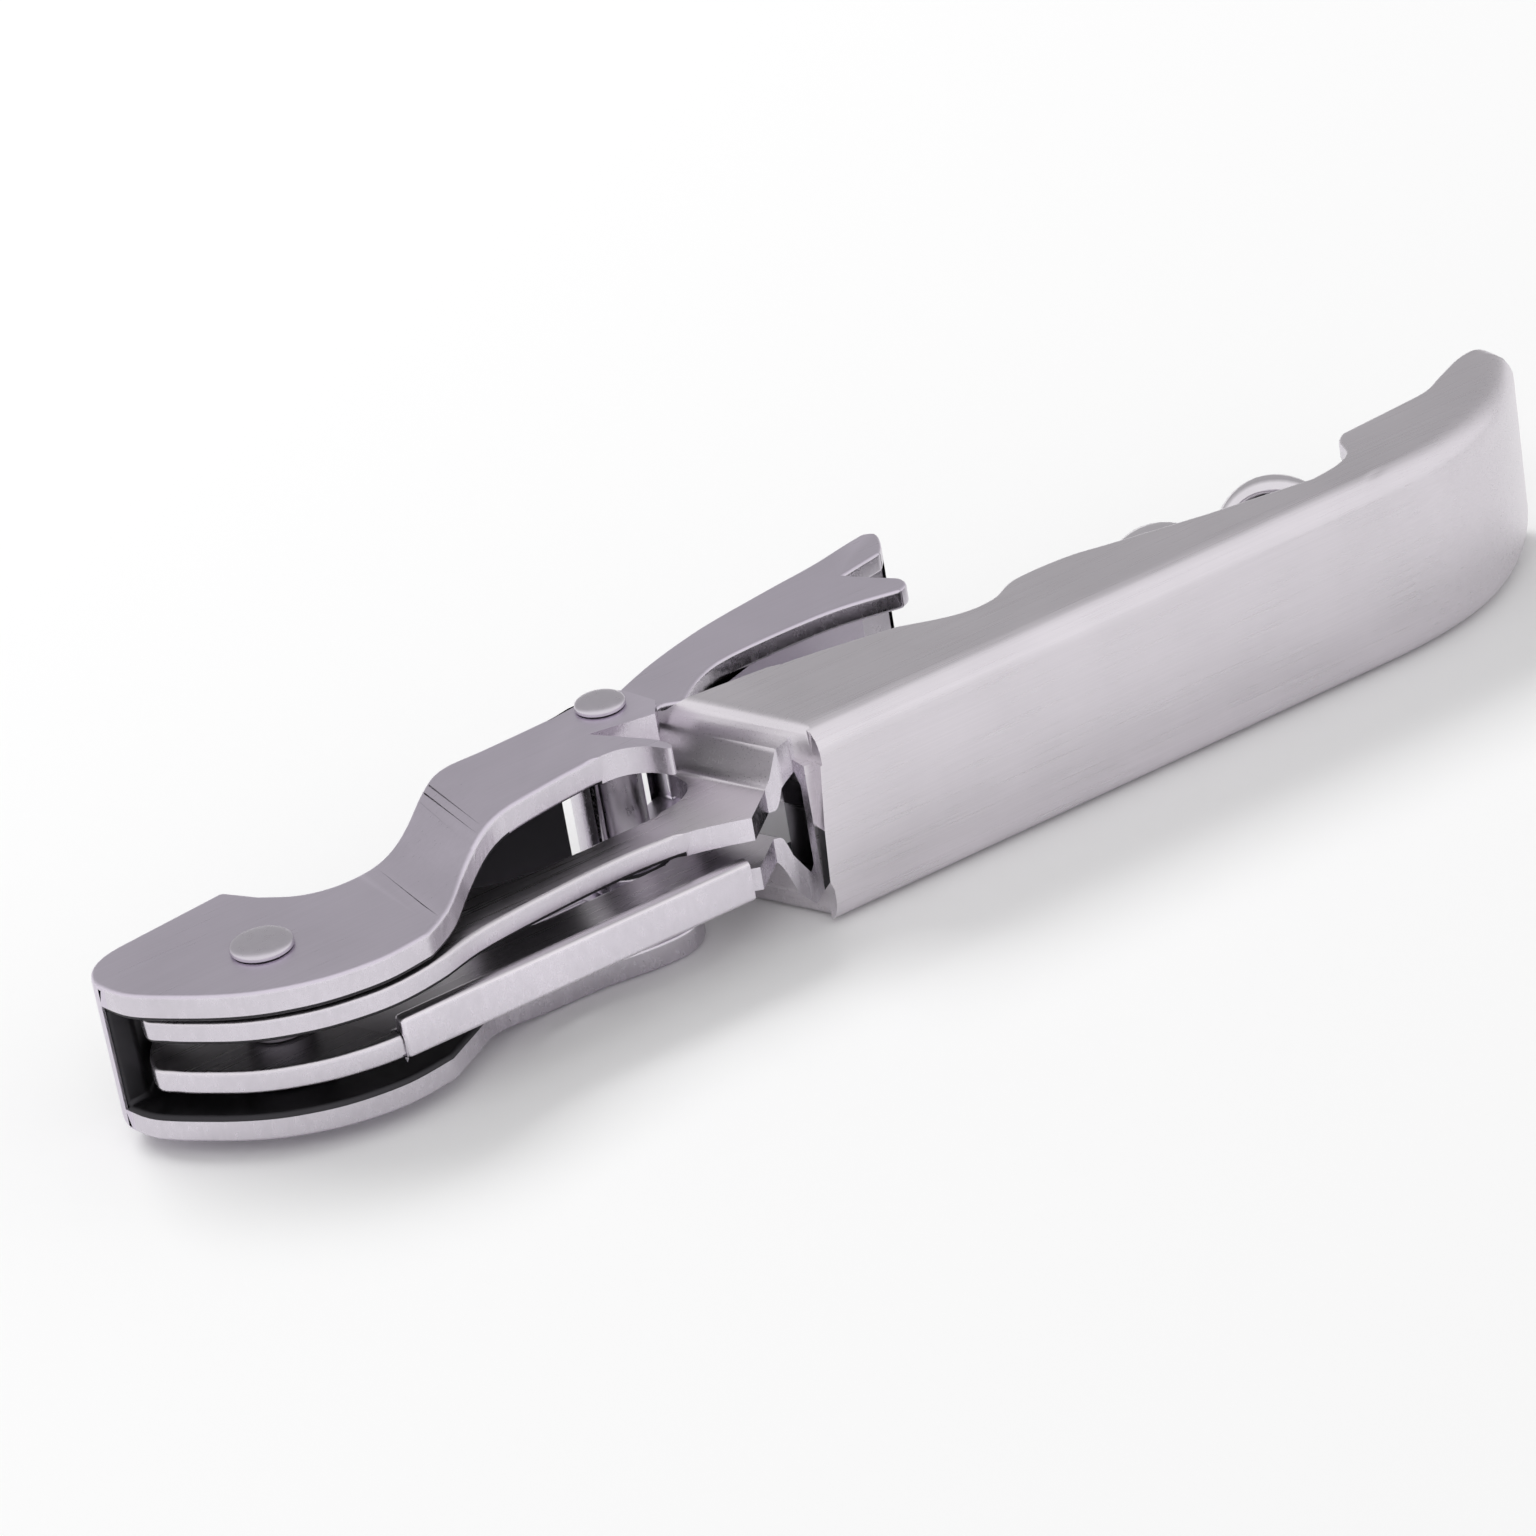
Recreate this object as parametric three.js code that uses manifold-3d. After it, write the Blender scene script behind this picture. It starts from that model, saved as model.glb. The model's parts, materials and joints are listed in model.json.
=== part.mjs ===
// Double-hinged lever corkscrew, folded shut and lying on its side.
// Millimetres. X runs along the handle from the lever pivot to the tail, Y from the closed back of
// the handle to its open side, and Z across the handle's width. Every pivot's axis is along Z.
import * as THREE from 'three';
import { mergeVertices } from 'three/addons/utils/BufferGeometryUtils.js';
import Module from 'manifold-3d';

const wasm = await Module();
wasm.setup();

// ---- driving dimensions -------------------------------------------------------------------------
const WIDTH = 15.9; // handle, outside its two side walls
const HANDLE_SHEET = 1.8;
const LEVER_SHEET = 2.1;
const FOOT_SHEET = 1.6;
const BACK_RADIUS = 2.4; // outside radius of the bend between back and side walls
const FIT = 0.06; // gap between a pin and its hole, and between faces that touch

// Heights of the outside faces of each pair of plates.
const NECK = { low: 5.1, high: 10.85 };
const LEVER_END = { low: 1.5, high: 13.2 };
const LEVER_TIP = { low: 0.05, high: 16.2 };
const FOOT = { low: 2.4, high: 13.85 };

const LEVER_PIVOT = new THREE.Vector2(-39.8, 8.0);
const FOOT_PIVOT = new THREE.Vector2(-7.9, 14.4);
const WORM_PIVOT = new THREE.Vector2(4.4, 7.7);
const WORM_LEVEL = 9.2; // height of the worm's centre line
const WORM_TILT = THREE.MathUtils.degToRad(3.2); // the worm leans out of the handle's open side
const KNIFE_PIVOT = new THREE.Vector2(58.4, 6.1);
const KNIFE_LEVEL = 2.25; // height of the blade's underside
const KNIFE_THICKNESS = 1.1;

const PIN_SIDES = 24;
const FAR = 60; // longer than any cut needs

// ---- shapes and solids --------------------------------------------------------------------------
const points = (...pairs) => pairs.map(([x, y]) => new THREE.Vector2(x, y));
const degrees = THREE.MathUtils.degToRad;

function solidOf(geometry) {
  geometry.deleteAttribute('normal');
  geometry.deleteAttribute('uv');
  const merged = mergeVertices(geometry, 1e-4);
  return new wasm.Manifold(new wasm.Mesh({
    numProp: 3,
    vertProperties: merged.attributes.position.array,
    triVerts: Uint32Array.from(merged.index.array),
  }));
}

function geometryOf(solid) {
  const { vertProperties, triVerts } = solid.getMesh();
  const geometry = new THREE.BufferGeometry();
  geometry.setAttribute('position', new THREE.Float32BufferAttribute(vertProperties, 3));
  geometry.setIndex(Array.from(triVerts));
  return geometry;
}

// A plan outline made thick from one height to another.
function plate(shape, low, high, curveSegments = 8) {
  const geometry = new THREE.ExtrudeGeometry(shape, { depth: high - low, bevelEnabled: false, curveSegments });
  return solidOf(geometry.translate(0, 0, low));
}

// An outline in X and Z, made thick along Y and turned about Z by the skew of its bend.
function sideways(shape, skew = 0) {
  const geometry = new THREE.ExtrudeGeometry(shape, { depth: 2 * FAR, bevelEnabled: false, curveSegments: 8 });
  return solidOf(geometry.rotateX(Math.PI / 2).translate(0, FAR, 0).rotateZ(skew));
}

const box = (x0, x1, y0, y1, z0, z1) => solidOf(
  new THREE.BoxGeometry(x1 - x0, y1 - y0, z1 - z0)
    .translate((x0 + x1) / 2, (y0 + y1) / 2, (z0 + z1) / 2));

const rod = (centre, radius, low, high) => solidOf(
  new THREE.CylinderGeometry(radius, radius, high - low, PIN_SIDES)
    .rotateX(Math.PI / 2)
    .translate(centre.x, centre.y, (low + high) / 2));

// A turned piece about the Z line through centre, from its half section of [radius, height] points.
function turned(centre, section) {
  const profile = section.map(([radius, height]) => new THREE.Vector2(radius, height));
  const geometry = new THREE.LatheGeometry(profile, PIN_SIDES);
  return solidOf(geometry.rotateX(Math.PI / 2).translate(centre.x, centre.y, 0));
}

const ring = (centre, inner, outer, low, high) =>
  turned(centre, [[inner, low], [outer, low], [outer, high], [inner, high], [inner, low]]);

// The side view of a channel that steps from one pair of heights to another between two places.
// A sheet's thickness taken off all round, and the step moved over by shift, give its inside.
function steppedSide(left, right, stepFrom, stepTo, sheet = 0, shift = 0) {
  const from = stepFrom + shift;
  const to = stepTo + shift;
  const ease = 0.45 * (to - from);
  const shape = new THREE.Shape();
  shape.moveTo(-FAR, left.low + sheet);
  shape.lineTo(from, left.low + sheet);
  shape.bezierCurveTo(from + ease, left.low + sheet, to - ease, right.low + sheet, to, right.low + sheet);
  shape.lineTo(2 * FAR, right.low + sheet);
  shape.lineTo(2 * FAR, right.high - sheet);
  shape.lineTo(to, right.high - sheet);
  shape.bezierCurveTo(to - ease, right.high - sheet, from + ease, left.high - sheet, from, left.high - sheet);
  shape.lineTo(-FAR, left.high - sheet);
  return shape;
}

// ---- handle shell -------------------------------------------------------------------------------
// One pressed sheet: a channel with a closed back that curls up at the tail, and two side walls that
// step inwards in front of the back to become the neck plates.
const TAIL_START = 50;
const TAIL_TIP = new THREE.Vector2(70.6, 9.5);

function backLine(shape, inset) {
  shape.lineTo(TAIL_START, inset);
  shape.bezierCurveTo(TAIL_START + 9.5, inset, 65.0 - inset, 2.4 + inset, TAIL_TIP.x - inset, TAIL_TIP.y);
}

function channelRegion(inset) {
  const shape = new THREE.Shape();
  shape.moveTo(-FAR, inset);
  backLine(shape, inset);
  shape.lineTo(TAIL_TIP.x - inset, FAR);
  shape.lineTo(-FAR, FAR);
  return shape;
}

function channel(inset) {
  const radius = BACK_RADIUS - inset;
  const geometry = new THREE.ExtrudeGeometry(channelRegion(inset), {
    depth: WIDTH - 2 * inset - 2 * radius,
    curveSegments: 10,
    bevelThickness: radius,
    bevelSize: radius,
    bevelOffset: -radius,
    bevelSegments: 4,
  });
  return solidOf(geometry.translate(0, 0, inset + radius));
}

// The open edge of both side walls, from the tail back to the step, then the neck's outline.
function shellOutline() {
  const shape = new THREE.Shape();
  shape.moveTo(0, -1);
  shape.lineTo(TAIL_TIP.x + 1, -1);
  shape.lineTo(TAIL_TIP.x + 0.2, TAIL_TIP.y);
  shape.splineThru(points([70.1, 11.5], [67.3, 11.5], [64.2, 10.1], [61.8, 8.9], [58.5, 8.5], [53.4, 8.1]));
  shape.splineThru(points([52.5, 7.3], [51.6, 5.3], [49.8, 4.3], [47.4, 3.9]));
  shape.lineTo(39.0, 5.4);
  shape.splineThru(points([31.8, 7.1], [28.0, 8.0], [23.4, 8.0], [20.6, 6.7], [17.6, 6.8], [13.6, 8.6]));
  shape.splineThru(points([6.0, 10.2], [0.0, 10.9], [-2.4, 11.2], [-3.7, 12.2], [-4.2, 13.0]));
  shape.lineTo(-4.8, 12.4);
  // Recess that the foot's rivet lies in.
  shape.splineThru(points([-5.2, 11.3], [-5.1, 9.8], [-5.4, 8.2], [-7.4, 6.9], [-11.0, 6.6]));
  shape.lineTo(-19.0, 6.5);
  shape.splineThru(points([-22.6, 7.4], [-26.0, 9.9], [-29.6, 11.0], [-33.0, 11.4], [-36.4, 13.6],
    [-40.5, 15.5], [-44.5, 15.2], [-47.4, 12.9], [-48.8, 9.8], [-48.0, 8.2],
    [-46.6, 6.5], [-44.2, 4.1], [-41.6, 2.4], [-38.5, 1.1], [-34.5, 0.4], [-30.4, 0.9], [-25.6, 2.3],
    [-16.0, 3.2], [-10.0, 3.0], [-6.6, 1.9]));
  shape.lineTo(-4.7, 1.0);
  shape.lineTo(-1.9, 3.6);
  shape.lineTo(-0.7, 3.3);
  shape.lineTo(0, 2.4);
  return shape;
}

function handleShell() {
  const skew = degrees(22);
  const stepFrom = -0.4;
  const stepTo = 1.1;
  // Past the step, both faces only have to clear the channel's own.
  const clear = { low: -1, high: WIDTH + 1 };
  const outside = sideways(steppedSide(NECK, clear, stepFrom, stepTo), skew)
    .add(box(0, 2 * FAR, -1, BACK_RADIUS, -1, WIDTH + 1));
  const inside = sideways(steppedSide(NECK, clear, stepFrom, stepTo, HANDLE_SHEET, 0.9), skew);
  const room = channel(HANDLE_SHEET).add(box(-FAR, -0.5, -1, FAR, 0.5, WIDTH - 0.5));
  const sheet = plate(shellOutline(), -1, WIDTH + 1, 5)
    .intersect(channel(0))
    .intersect(outside)
    .subtract(inside.intersect(room));
  // The lower neck plate reaches out to the line of the back, where its edge is turned up.
  const rim = { from: -34.4, to: -6.0, thickness: 1.3, rise: 3.1 };
  const neckRim = box(rim.from, rim.to, 0, rim.thickness, NECK.low, NECK.low + rim.rise)
    .add(box(rim.from, rim.to, 0, 3.4, NECK.low, NECK.low + HANDLE_SHEET));
  const rivetHole = rod(LEVER_PIVOT, 1.5 + 1.3 * FIT, -1, WIDTH + 1);
  return sheet.add(neckRim).subtract(rivetHole);
}

// ---- lever arm ----------------------------------------------------------------------------------
// Two plates joined by a web round the outer corner of their end and by another at the back. They
// spread apart towards the foot, where the inner prong is the first step that sits on a bottle's rim.
// The lower plate's inner prong is fuller than the upper one's.
function leverOutline(innerEdge) {
  const shape = new THREE.Shape();
  shape.moveTo(-38.0, 17.2);
  shape.lineTo(-46.8, 16.1);
  shape.quadraticCurveTo(-50.3, 15.6, -50.4, 12.4);
  shape.splineThru(points([-49.6, 9.6], [-47.0, 6.4], [-44.4, 3.9], [-41.8, 2.2], [-38.6, 0.9], [-34.6, 0.3],
    [-30.8, 0.8]));
  shape.splineThru(innerEdge);
  shape.lineTo(-10.7, 11.5);
  shape.lineTo(-5.8, 10.4);
  shape.lineTo(-4.7, 12.1);
  shape.lineTo(-5.4, 15.0);
  shape.quadraticCurveTo(-5.8, 16.0, -7.4, 16.1);
  shape.splineThru(points([-12.6, 15.8], [-17.4, 15.6], [-20.8, 15.6], [-22.8, 14.7], [-25.0, 13.3],
    [-27.2, 12.3], [-29.6, 11.8], [-32.1, 11.8], [-34.4, 12.7], [-36.4, 14.6]));
  return shape;
}

function leverArm() {
  const upperEdge = points([-28.0, 2.6], [-25.3, 4.8], [-22.3, 6.4], [-18.8, 7.1], [-14.6, 7.8], [-11.0, 8.0],
    [-9.0, 6.9], [-7.9, 5.2], [-7.5, 5.8], [-8.0, 7.4]);
  const lowerEdge = points([-28.0, 2.6], [-25.3, 4.6], [-22.1, 5.6], [-16.5, 5.7], [-11.6, 5.0], [-8.6, 5.2],
    [-6.9, 6.6], [-6.8, 7.8]);
  const stepFrom = -29.0;
  const stepTo = -20.0;
  const outside = sideways(steppedSide(LEVER_END, LEVER_TIP, stepFrom, stepTo));
  const inside = sideways(steppedSide(LEVER_END, LEVER_TIP, stepFrom, stepTo, LEVER_SHEET, 0.3));
  // The webs are left standing outside this region.
  const hollow = new THREE.Shape(points([-FAR, -2], [-FAR, 11.7], [-48.5, 12.2], [-47.6, 13.4], [-46.6, 14.4],
    [-46.6, FAR], [-23.0, FAR], [-21.9, 13.6], [-20.5, 14.2], [-17.6, 14.1], [-12.2, 14.1], [-13.2, 16.2],
    [-13.2, FAR], [FAR, FAR], [FAR, -2]));
  const middle = (LEVER_TIP.low + LEVER_TIP.high) / 2;
  return plate(leverOutline(lowerEdge), 0, middle)
    .add(plate(leverOutline(upperEdge), middle, LEVER_TIP.high))
    .intersect(outside)
    .subtract(inside.intersect(plate(hollow, -1, WIDTH + 1)))
    .subtract(rod(LEVER_PIVOT, 1.5 + FIT, -1, WIDTH + 1))
    .subtract(rod(FOOT_PIVOT, 1.3 + FIT, -1, WIDTH + 1));
}

// ---- lever foot ---------------------------------------------------------------------------------
// The second step: a channel that pivots between the arm's plates and ends in a forked tip.
function footOutline() {
  const shape = new THREE.Shape();
  shape.absarc(FOOT_PIVOT.x, FOOT_PIVOT.y, 3.3, degrees(95), degrees(325), false);
  shape.splineThru(points([-4.4, 13.9], [-3.4, 14.9], [-2.5, 15.2]));
  shape.lineTo(-1.3, 14.4);
  shape.splineThru(points([0.9, 16.2], [3.3, 17.4], [6.0, 17.8], [10.6, 17.9], [14.6, 17.6], [19.0, 16.5]));
  shape.splineThru(points([19.9, 17.1], [20.1, 18.2], [19.2, 19.5]));
  shape.lineTo(17.6, 21.9);
  shape.lineTo(21.4, 22.8);
  shape.splineThru(points([22.3, 24.0], [23.0, 25.7], [22.2, 26.5]));
  shape.splineThru(points([20.0, 26.0], [16.8, 25.2], [11.8, 24.4], [5.6, 23.2], [0.2, 21.4], [-4.0, 19.4]));
  return shape;
}

function leverFoot() {
  const { low, high } = FOOT;
  const hollow = new THREE.Shape(points([-20, 0], [-20, 30], [-3.0, 30], [-1.2, 18.9], [0.8, 19.9],
    [5.9, 21.6], [12.1, 22.8], [17.0, 23.6], [19.8, 24.2], [30, 24.2], [30, 0]));
  // The sheet also closes the far side of the foot's round end.
  const roundWeb = new THREE.Shape();
  roundWeb.absarc(FOOT_PIVOT.x, FOOT_PIVOT.y, 6, degrees(60), degrees(215), false);
  roundWeb.absarc(FOOT_PIVOT.x, FOOT_PIVOT.y, 2.3, degrees(215), degrees(60), true);
  return plate(footOutline(), low, high)
    .subtract(plate(hollow, low + FOOT_SHEET, high - FOOT_SHEET).subtract(plate(roundWeb, low, high)))
    .subtract(rod(FOOT_PIVOT, 1.3 + 1.3 * FIT, low - 1, high + 1));
}

// ---- rivets, collars and washers ----------------------------------------------------------------
// A round shank with a low domed head on its upper face, and on its lower face too unless that end is
// hammered flush.
function rivet(centre, shank, head, rise, low, high, flush = false) {
  const dome = (face, direction) => [
    [head, face],
    [head, face + direction * 0.3 * rise],
    [0.8 * head, face + direction * 0.75 * rise],
    [0.45 * head, face + direction * rise],
    [0, face + direction * rise],
  ];
  const lowerEnd = flush ? [[0, low], [shank, low]] : [...dome(low - FIT, -1).reverse(), [shank, low - FIT]];
  return turned(centre, [
    ...lowerEnd,
    [shank, high + FIT],
    ...dome(high + FIT, 1),
  ]);
}

// ---- worm ---------------------------------------------------------------------------------------
const WORM = { wire: 1.5, coil: 3.2, pitch: 10.8, turns: 4.0, shank: 6.8 };

class WormLine extends THREE.Curve {
  getPoint(t, target = new THREE.Vector3()) {
    const turn = t * WORM.turns;
    const spread = WORM.coil * THREE.MathUtils.smoothstep(turn, 0, 0.7);
    const angle = 2 * Math.PI * turn - Math.PI / 2;
    return target.set(WORM.shank + turn * WORM.pitch, spread * Math.cos(angle), spread * Math.sin(angle));
  }
}

function worm() {
  const section = new THREE.Shape();
  section.absarc(0, 0, WORM.wire, 0, 2 * Math.PI);
  const helix = new THREE.ExtrudeGeometry(section, {
    steps: 96, curveSegments: 5, bevelEnabled: false, extrudePath: new WormLine(),
  });
  const reach = WORM.shank + WORM.turns * WORM.pitch;
  const taper = new THREE.LatheGeometry(points([0, -5], [6, -5], [6, reach - 9], [0.9, reach + 0.4],
    [0, reach + 0.4]), PIN_SIDES).rotateZ(-Math.PI / 2);
  const shank = new THREE.CylinderGeometry(WORM.wire, WORM.wire, WORM.shank - 1.5, 12)
    .rotateZ(Math.PI / 2)
    .translate((WORM.shank + 1.9) / 2, 0, 0);
  const origin = new THREE.Vector2(0, 0);
  const eye = rod(origin, 3.0, -2.6, 2.6);
  return solidOf(helix)
    .intersect(solidOf(taper))
    .add(solidOf(shank))
    .add(eye)
    .subtract(rod(origin, 1.25 + 1.3 * FIT, -4, 4))
    .rotate([0, 0, THREE.MathUtils.radToDeg(WORM_TILT)])
    .translate([WORM_PIVOT.x, WORM_PIVOT.y, WORM_LEVEL]);
}

// ---- knife --------------------------------------------------------------------------------------
function knifeOutline() {
  const shape = new THREE.Shape();
  const { x, y } = KNIFE_PIVOT;
  shape.moveTo(x - 1.4, y + 2.1);
  shape.lineTo(34.0, 9.4);
  shape.quadraticCurveTo(28.6, 9.2, 26.2, 6.6);
  shape.quadraticCurveTo(29.6, 2.9, 35.0, 2.8);
  shape.lineTo(50.4, 2.8);
  shape.quadraticCurveTo(51.6, 4.2, 53.4, 4.3);
  shape.lineTo(x - 1.5, y - 1.95);
  shape.absarc(x, y, 2.45, degrees(232), degrees(482), false);
  return shape;
}

// ---- pieces -------------------------------------------------------------------------------------
const steel = (colour, roughness) =>
  new THREE.MeshStandardMaterial({ color: colour, roughness, metalness: 1 });

const corkscrew = new THREE.Group();

function add(name, solid, colour = 0xb9b4ba, roughness = 0.35) {
  const mesh = new THREE.Mesh(geometryOf(solid), steel(colour, roughness));
  mesh.name = name;
  corkscrew.add(mesh);
}

const insideLow = HANDLE_SHEET + FIT;
const insideHigh = WIDTH - HANDLE_SHEET - FIT;
const inner = ({ low, high }, sheet) => ({ low: low + sheet + FIT, high: high - sheet - FIT });
const neckInside = inner(NECK, HANDLE_SHEET);
const leverInside = inner(LEVER_END, LEVER_SHEET);
const tipInside = inner(LEVER_TIP, LEVER_SHEET);
const footInside = inner(FOOT, FOOT_SHEET);

add('handle_shell', handleShell(), 0xc4bfc6);
add('lever_arm', leverArm());
add('lever_foot', leverFoot());

const mainShank = 1.5;
add('lever_rivet', rivet(LEVER_PIVOT, mainShank, 2.25, 0.75, LEVER_END.low, LEVER_END.high), 0xcfcbd0, 0.2);
add('lever_rivet_collar', ring(LEVER_PIVOT, mainShank + FIT, 2.4, neckInside.low, neckInside.high), 0xcfcbd0);
add('lever_washer_upper', ring(LEVER_PIVOT, mainShank + FIT, 3.2, NECK.high + FIT, leverInside.high), 0x9a969c);
add('lever_washer_lower', ring(LEVER_PIVOT, mainShank + FIT, 3.2, leverInside.low, NECK.low - FIT), 0x9a969c);

const footShank = 1.3;
add('foot_rivet', rivet(FOOT_PIVOT, footShank, 1.85, 0.7, LEVER_TIP.low, LEVER_TIP.high, true), 0xcfcbd0, 0.2);
add('foot_rivet_collar', ring(FOOT_PIVOT, footShank + FIT, 2.0, footInside.low, footInside.high), 0xcfcbd0);
add('foot_washer_upper', ring(FOOT_PIVOT, footShank + FIT, 2.8, FOOT.high + FIT, tipInside.high), 0x9a969c);
add('foot_washer_lower', ring(FOOT_PIVOT, footShank + FIT, 2.8, tipInside.low, FOOT.low - FIT), 0x9a969c);

add('worm', worm(), 0xd8d5da, 0.15);
add('worm_pin', rod(WORM_PIVOT, 1.25, insideLow, insideHigh), 0xcfcbd0, 0.25);
const eyeHalf = 2.6;
add('worm_spacer_lower',
  ring(WORM_PIVOT, 1.25 + FIT, 2.4, insideLow, WORM_LEVEL - eyeHalf - FIT), 0x9a969c);
add('worm_spacer_upper',
  ring(WORM_PIVOT, 1.25 + FIT, 2.4, WORM_LEVEL + eyeHalf + FIT, insideHigh), 0x9a969c);

const knife = plate(knifeOutline(), KNIFE_LEVEL, KNIFE_LEVEL + KNIFE_THICKNESS)
  .subtract(rod(KNIFE_PIVOT, 1.1 + 1.3 * FIT, 0, 9));
add('knife_blade', knife, 0xd0cdd2, 0.22);
add('knife_pin', rod(KNIFE_PIVOT, 1.1, insideLow, insideHigh), 0xcfcbd0, 0.25);
add('knife_washer',
  ring(KNIFE_PIVOT, 1.1 + FIT, 2.1, insideLow, KNIFE_LEVEL - FIT), 0x9a969c);
add('knife_spacer',
  ring(KNIFE_PIVOT, 1.1 + FIT, 2.1, KNIFE_LEVEL + KNIFE_THICKNESS + FIT, insideHigh), 0x9a969c);

// The origin is the middle of the space the closed corkscrew takes up, on the surface it lies on.
const extent = new THREE.Box3().setFromObject(corkscrew);
corkscrew.position.set(-(extent.min.x + extent.max.x) / 2, -(extent.min.y + extent.max.y) / 2, 0);

export default corkscrew;
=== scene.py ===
# %% [markdown]
# A double-hinged lever corkscrew, folded shut and lying on its side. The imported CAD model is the
# frame: it says where every pivot and plate is and what moves with what. Here each plate, rivet and
# wire is built again with rounded edges and fine surfaces, and rides on the CAD body it belongs to.

# %% Load the frame
import json
import math

import bpy
from mathutils import Matrix, Vector


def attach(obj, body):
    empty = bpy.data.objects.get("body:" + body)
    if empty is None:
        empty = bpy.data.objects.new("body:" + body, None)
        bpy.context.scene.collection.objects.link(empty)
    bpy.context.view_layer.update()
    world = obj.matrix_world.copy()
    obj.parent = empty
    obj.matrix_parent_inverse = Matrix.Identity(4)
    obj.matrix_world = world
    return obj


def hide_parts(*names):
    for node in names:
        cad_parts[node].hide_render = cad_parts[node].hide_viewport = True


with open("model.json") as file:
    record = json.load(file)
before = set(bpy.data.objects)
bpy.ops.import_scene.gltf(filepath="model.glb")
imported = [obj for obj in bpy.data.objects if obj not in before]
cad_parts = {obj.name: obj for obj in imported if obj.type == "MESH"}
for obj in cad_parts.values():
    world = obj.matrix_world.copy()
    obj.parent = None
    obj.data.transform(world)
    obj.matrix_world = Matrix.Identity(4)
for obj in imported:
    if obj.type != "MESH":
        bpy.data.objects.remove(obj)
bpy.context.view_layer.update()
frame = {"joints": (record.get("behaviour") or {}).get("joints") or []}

# %% [markdown]
# The pieces are drawn in millimetres from one corner of the handle: X runs along the handle from
# the cut end of its back, Y goes from the closed back to the open side, and Z is the height above
# the table. The lever's hinge is in the record, so it ties this drawing to the frame.

# %% Drawing millimetres to the frame's metres
MM = 0.001
LEVER_PIVOT = (-39.8, 8.0)
FOOT_PIVOT = (-7.9, 14.4)
WORM_PIVOT = (4.4, 7.7)
KNIFE_PIVOT = (58.4, 6.1)
hinges = {j["name"]: Vector(j["pos_m"]) for j in frame["joints"]}
main_hinge = hinges["lever_hinge"]
ZERO = Vector((main_hinge.x - LEVER_PIVOT[0] * MM, main_hinge.y - LEVER_PIVOT[1] * MM, 0))


def place(x, y, z):
    """A point of the drawing, in the frame."""
    return ZERO + Vector((x, y, z)) * MM


print("drawing's zero, mm:", [round(v / MM, 2) for v in ZERO])

# %% [markdown]
# The sizes that several pieces share. A lever corkscrew is a stack of plates on rivets: the neck of
# the handle sits inside the lever, and the lever's foot sits inside the lever's other end.

# %% Shared sizes, in millimetres
WIDTH = 15.9
HANDLE_SHEET = 1.8
LEVER_SHEET = 2.1
FOOT_SHEET = 1.6
BACK_RADIUS = 2.4
FIT = 0.06
FAR = 60
NECK = (5.1, 10.85)
LEVER_END = (1.5, 13.2)
LEVER_TIP = (0.05, 16.2)
FOOT = (2.4, 13.85)
WORM_LEVEL = 9.2
KNIFE_LEVEL = 2.25
KNIFE_THICKNESS = 1.1
TAIL_START = 50
TAIL_TIP = (70.6, 9.5)

# %% [markdown]
# Plate outlines are a few corners joined by smooth curves. This small helper collects the points as
# a pencil would: a line, a curve through points, a bend towards a control point, or an arc.


# %% An outline drawn stroke by stroke
class Outline:
    def __init__(self, x, y):
        self.points = [(x, y)]

    def line(self, *corners):
        self.points += corners
        return self

    def through(self, *knots, steps=6):
        p = [self.points[-1], *knots]
        for i in range(len(p) - 1):
            a, b = p[i], p[i + 1]
            before, after = p[max(i - 1, 0)], p[min(i + 2, len(p) - 1)]
            for s in range(1, steps + 1):
                t = s / steps
                h = (2 * t**3 - 3 * t**2 + 1, t**3 - 2 * t**2 + t, 3 * t**2 - 2 * t**3, t**3 - t**2)
                self.points.append(tuple(
                    h[0] * a[k] + h[1] * (b[k] - before[k]) / 2 + h[2] * b[k] + h[3] * (after[k] - a[k]) / 2
                    for k in (0, 1)))
        return self

    def bend(self, *controls, steps=8):
        p = [self.points[-1], *controls]
        n = len(p) - 1
        for s in range(1, steps + 1):
            t = s / steps
            w = [math.comb(n, i) * t**i * (1 - t) ** (n - i) for i in range(n + 1)]
            self.points.append(tuple(sum(w[i] * p[i][k] for i in range(n + 1)) for k in (0, 1)))
        return self


def arc(centre, radius, start, end, steps=24):
    angles = [math.radians(start + (end - start) * s / steps) for s in range(steps + 1)]
    return [(centre[0] + radius * math.cos(a), centre[1] + radius * math.sin(a)) for a in angles]


# %% [markdown]
# Every operator works on what is selected, so a helper starts each step with one object only. Another
# turns an outline into a solid: a filled circle with as many corners as the outline has takes its
# shape, and one extrusion gives it thickness, just as a plate is cut from sheet.


# %% Selecting, and making a solid from an outline
def only(obj):
    if bpy.context.mode != "OBJECT":
        bpy.ops.object.mode_set(mode="OBJECT")
    bpy.ops.object.select_all(action="DESELECT")
    obj.select_set(True)
    bpy.context.view_layer.objects.active = obj
    return obj


def edit(obj, *steps):
    """Runs the steps in edit mode with everything selected."""
    only(obj)
    bpy.ops.object.mode_set(mode="EDIT")
    bpy.ops.mesh.select_mode(type="VERT")
    bpy.ops.mesh.select_all(action="SELECT")
    for step in steps:
        step()
    bpy.ops.object.mode_set(mode="OBJECT")
    return obj


def outward():
    bpy.ops.mesh.normals_make_consistent(inside=False)


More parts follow.
